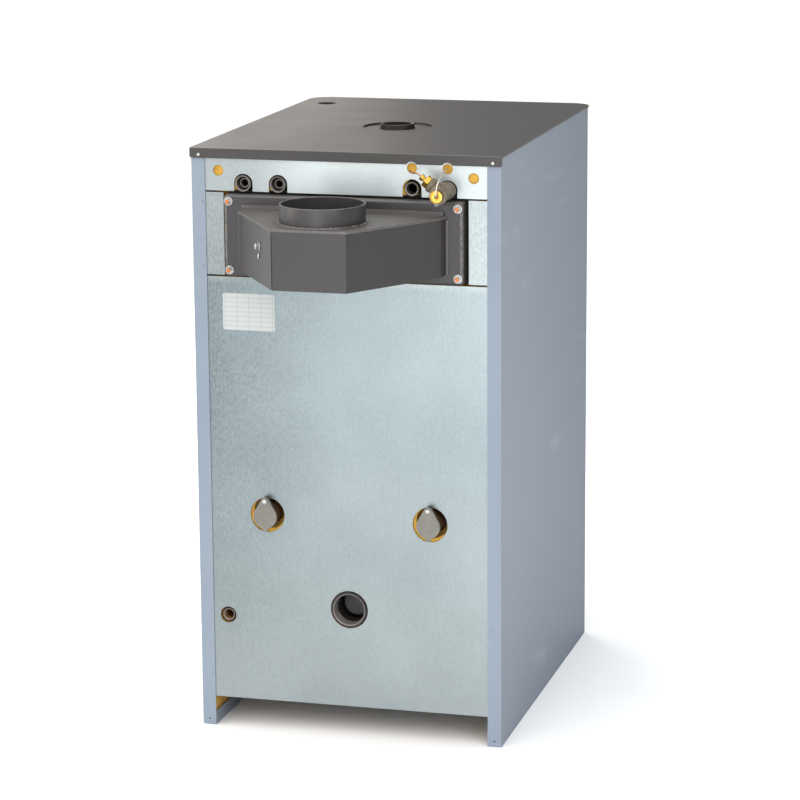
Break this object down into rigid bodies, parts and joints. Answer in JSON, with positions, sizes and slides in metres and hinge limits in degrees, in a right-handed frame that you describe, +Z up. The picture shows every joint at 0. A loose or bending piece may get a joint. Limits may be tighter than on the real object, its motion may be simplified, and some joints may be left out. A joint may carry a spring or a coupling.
{
  "type": "solid fuel heating boiler",
  "caption": "Free-standing solid fuel heating boiler with folded steel casing, rear flue box, pipe sockets, secondary air covers and hinged front doors.",
  "frame": {"origin": "centre of the boiler's bounding box, on the floor", "axes": "+Z up, the doors face -Y, the flue outlet and pipe sockets face +Y, +X is the boiler's right seen from the front"},
  "size_m": [0.564, 1.0192, 1.0673],
  "materials": {
    "blue_grey_coat": "satin powder coat",
    "anthracite_coat": "textured powder coat",
    "galvanised_sheet": "galvanised",
    "flue_black": "heat-resistant black",
    "mineral_wool": "fibrous",
    "mill_steel": "bare plate, dark",
    "pipe_iron": "dark, lightly rusted",
    "brass": "bright",
    "copper": "bright",
    "bright_steel": "zinc plated",
    "cast_grey": "grey casting",
    "door_liner": "insulating board",
    "gasket_fibre": "pressed fibre",
    "black_grip": "satin black",
    "gauge_case": "gloss black"
  },
  "bodies": {
    "boiler": {"side_panel_right": "blue_grey_coat", "side_panel_left": "blue_grey_coat", "top_cover": "anthracite_coat", "rear_upper_strip": "galvanised_sheet", "rear_filler_left": "galvanised_sheet", "rear_filler_right": "galvanised_sheet", "rear_lower_panel": "galvanised_sheet", "front_fascia": "blue_grey_coat", "wool_rear": "mineral_wool", "wool_top": "mineral_wool", "wool_right": "mineral_wool", "wool_left": "mineral_wool", "water_jacket": "mill_steel", "firebox": "mill_steel", "grate": "cast_grey", "ash_pan": "mill_steel", "base_rail_right": "mill_steel", "base_rail_left": "mill_steel", "front_plate": "mill_steel", "loading_hinge_rod": "bright_steel", "ash_hinge_rod": "bright_steel", "thermo_gauge": "gauge_case", "flue_box": "flue_black", "flue_collar": "flue_black", "flue_gasket": "gasket_fibre", "smoke_duct": "mill_steel", "flue_stud_left_lower": "bright_steel", "flue_stud_left_upper": "bright_steel", "flue_stud_right_lower": "bright_steel", "flue_stud_right_upper": "bright_steel", "flue_test_plug": "bright_steel", "coil_socket_outer": "pipe_iron", "coil_socket_inner": "pipe_iron", "sensor_socket": "pipe_iron", "gauge_socket": "pipe_iron", "return_socket": "pipe_iron", "drain_socket": "pipe_iron", "flow_socket": "pipe_iron", "regulator_socket": "pipe_iron", "cooling_coil": "copper", "gauge_tee": "pipe_iron", "immersion_well": "brass", "gauge_gland": "brass", "copper_capillary": "copper", "steel_capillary": "bright_steel", "well_clip": "bright_steel", "air_inlet_right": "cast_grey", "air_rivet_right": "bright_steel", "air_inlet_left": "cast_grey", "air_rivet_left": "bright_steel"},
    "loading_door": {"loading_door": "anthracite_coat", "loading_door_liner": "door_liner"},
    "loading_handle": {"loading_handle": "black_grip"},
    "ash_door": {"ash_door": "anthracite_coat", "ash_door_liner": "door_liner", "air_flap_pin": "bright_steel"},
    "ash_handle": {"ash_handle": "black_grip"},
    "air_flap": {"air_flap": "anthracite_coat"},
    "air_cover_right": {"air_cover_right": "cast_grey"},
    "air_cover_left": {"air_cover_left": "cast_grey"}
  },
  "joints": [
    {"name": "loading_door_hinge", "type": "hinge", "parent": "boiler", "child": "loading_door", "pos_m": [-0.243, -0.44465, 0.685], "axis": [0, 0, -1], "range_deg": [0, 110]},
    {"name": "loading_latch_turn", "type": "hinge", "parent": "loading_door", "child": "loading_handle", "pos_m": [0.239, -0.47465, 0.685], "axis": [0, -1, 0], "range_deg": [0, 90]},
    {"name": "ash_door_hinge", "type": "hinge", "parent": "boiler", "child": "ash_door", "pos_m": [-0.243, -0.44465, 0.3075], "axis": [0, 0, -1], "range_deg": [0, 110]},
    {"name": "ash_latch_turn", "type": "hinge", "parent": "ash_door", "child": "ash_handle", "pos_m": [0.239, -0.47465, 0.3075], "axis": [0, -1, 0], "range_deg": [0, 90]},
    {"name": "air_flap_hinge", "type": "hinge", "parent": "ash_door", "child": "air_flap", "pos_m": [0, -0.46045, 0.2315], "axis": [-1, 0, 0], "range_deg": [0, 60]},
    {"name": "air_cover_right_swing", "type": "hinge", "parent": "boiler", "child": "air_cover_right", "pos_m": [0.1505, 0.30045, 0.4305], "axis": [0, 1, 0], "range_deg": [-100, 100]},
    {"name": "air_cover_left_swing", "type": "hinge", "parent": "boiler", "child": "air_cover_left", "pos_m": [-0.1505, 0.30045, 0.4305], "axis": [0, 1, 0], "range_deg": [-100, 100]}
  ]
}
